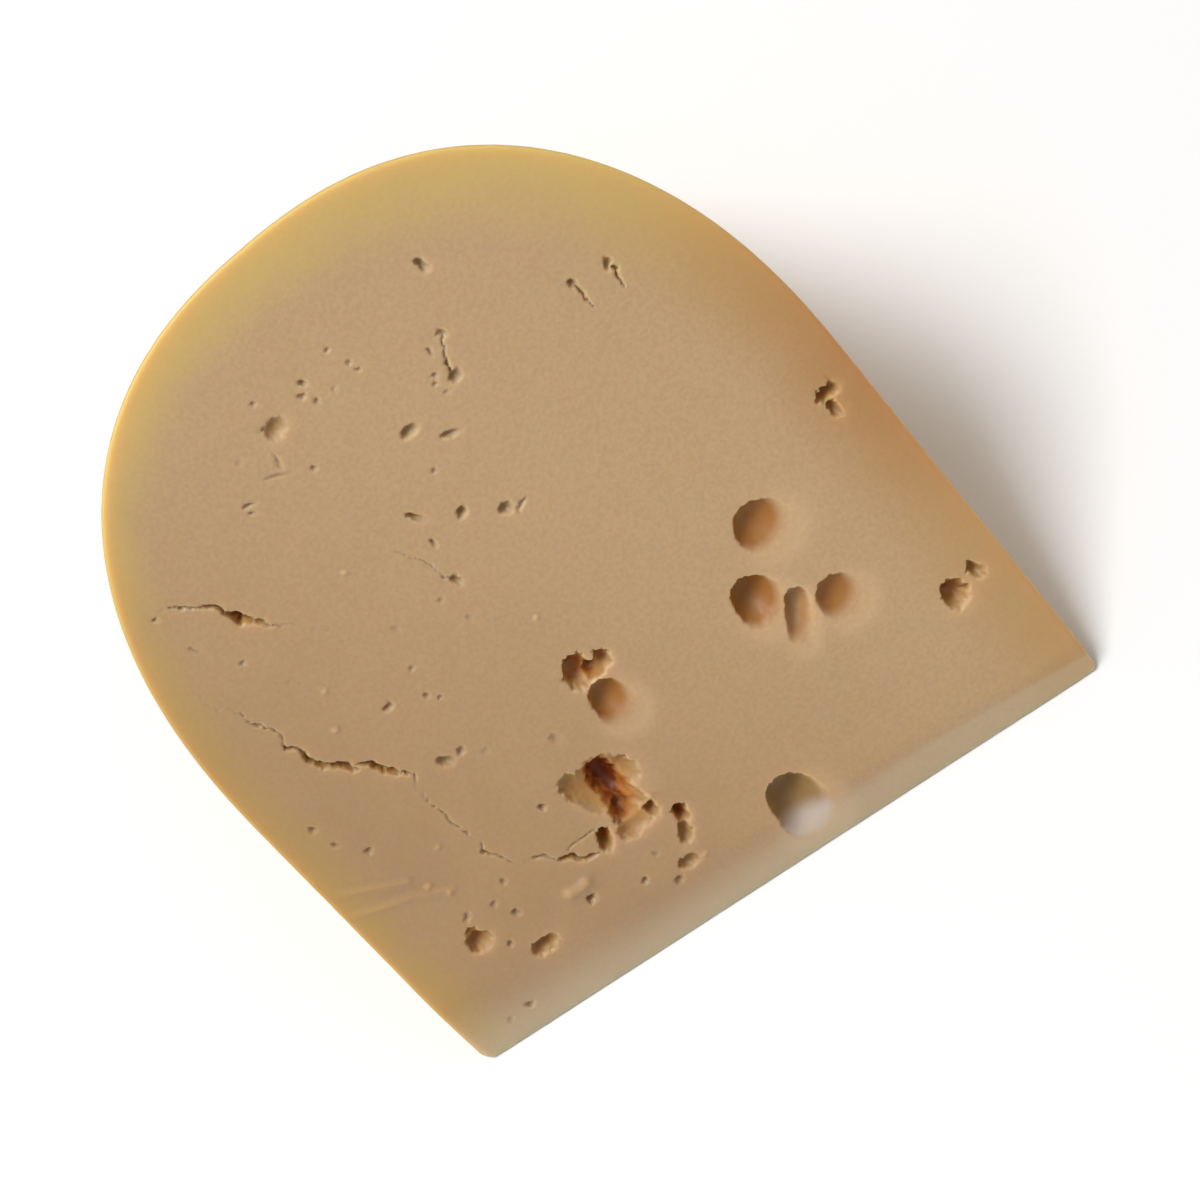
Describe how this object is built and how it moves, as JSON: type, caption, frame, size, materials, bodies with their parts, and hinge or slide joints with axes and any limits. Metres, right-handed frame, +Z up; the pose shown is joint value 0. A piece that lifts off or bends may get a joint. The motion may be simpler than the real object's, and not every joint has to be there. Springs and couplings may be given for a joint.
{
  "type": "cheese wedge",
  "caption": "Wedge of semi-hard cheese with round eyes, torn holes and cracks in its cut faces and a rounded golden rind, lying on a cut face.",
  "frame": {"origin": "centre of the bounding box on the surface it lies on", "axes": "+Z up out of the lower cut face's plane, +Y from the wedge's tip towards its rounded rind, X along the axis of the wheel it was cut from"},
  "size_m": [0.102, 0.1246, 0.0863],
  "materials": {
    "cheese": "satin, moist cut paste with a golden rind"
  },
  "bodies": {
    "root": {"cheese_wedge": "cheese"}
  },
  "joints": []
}
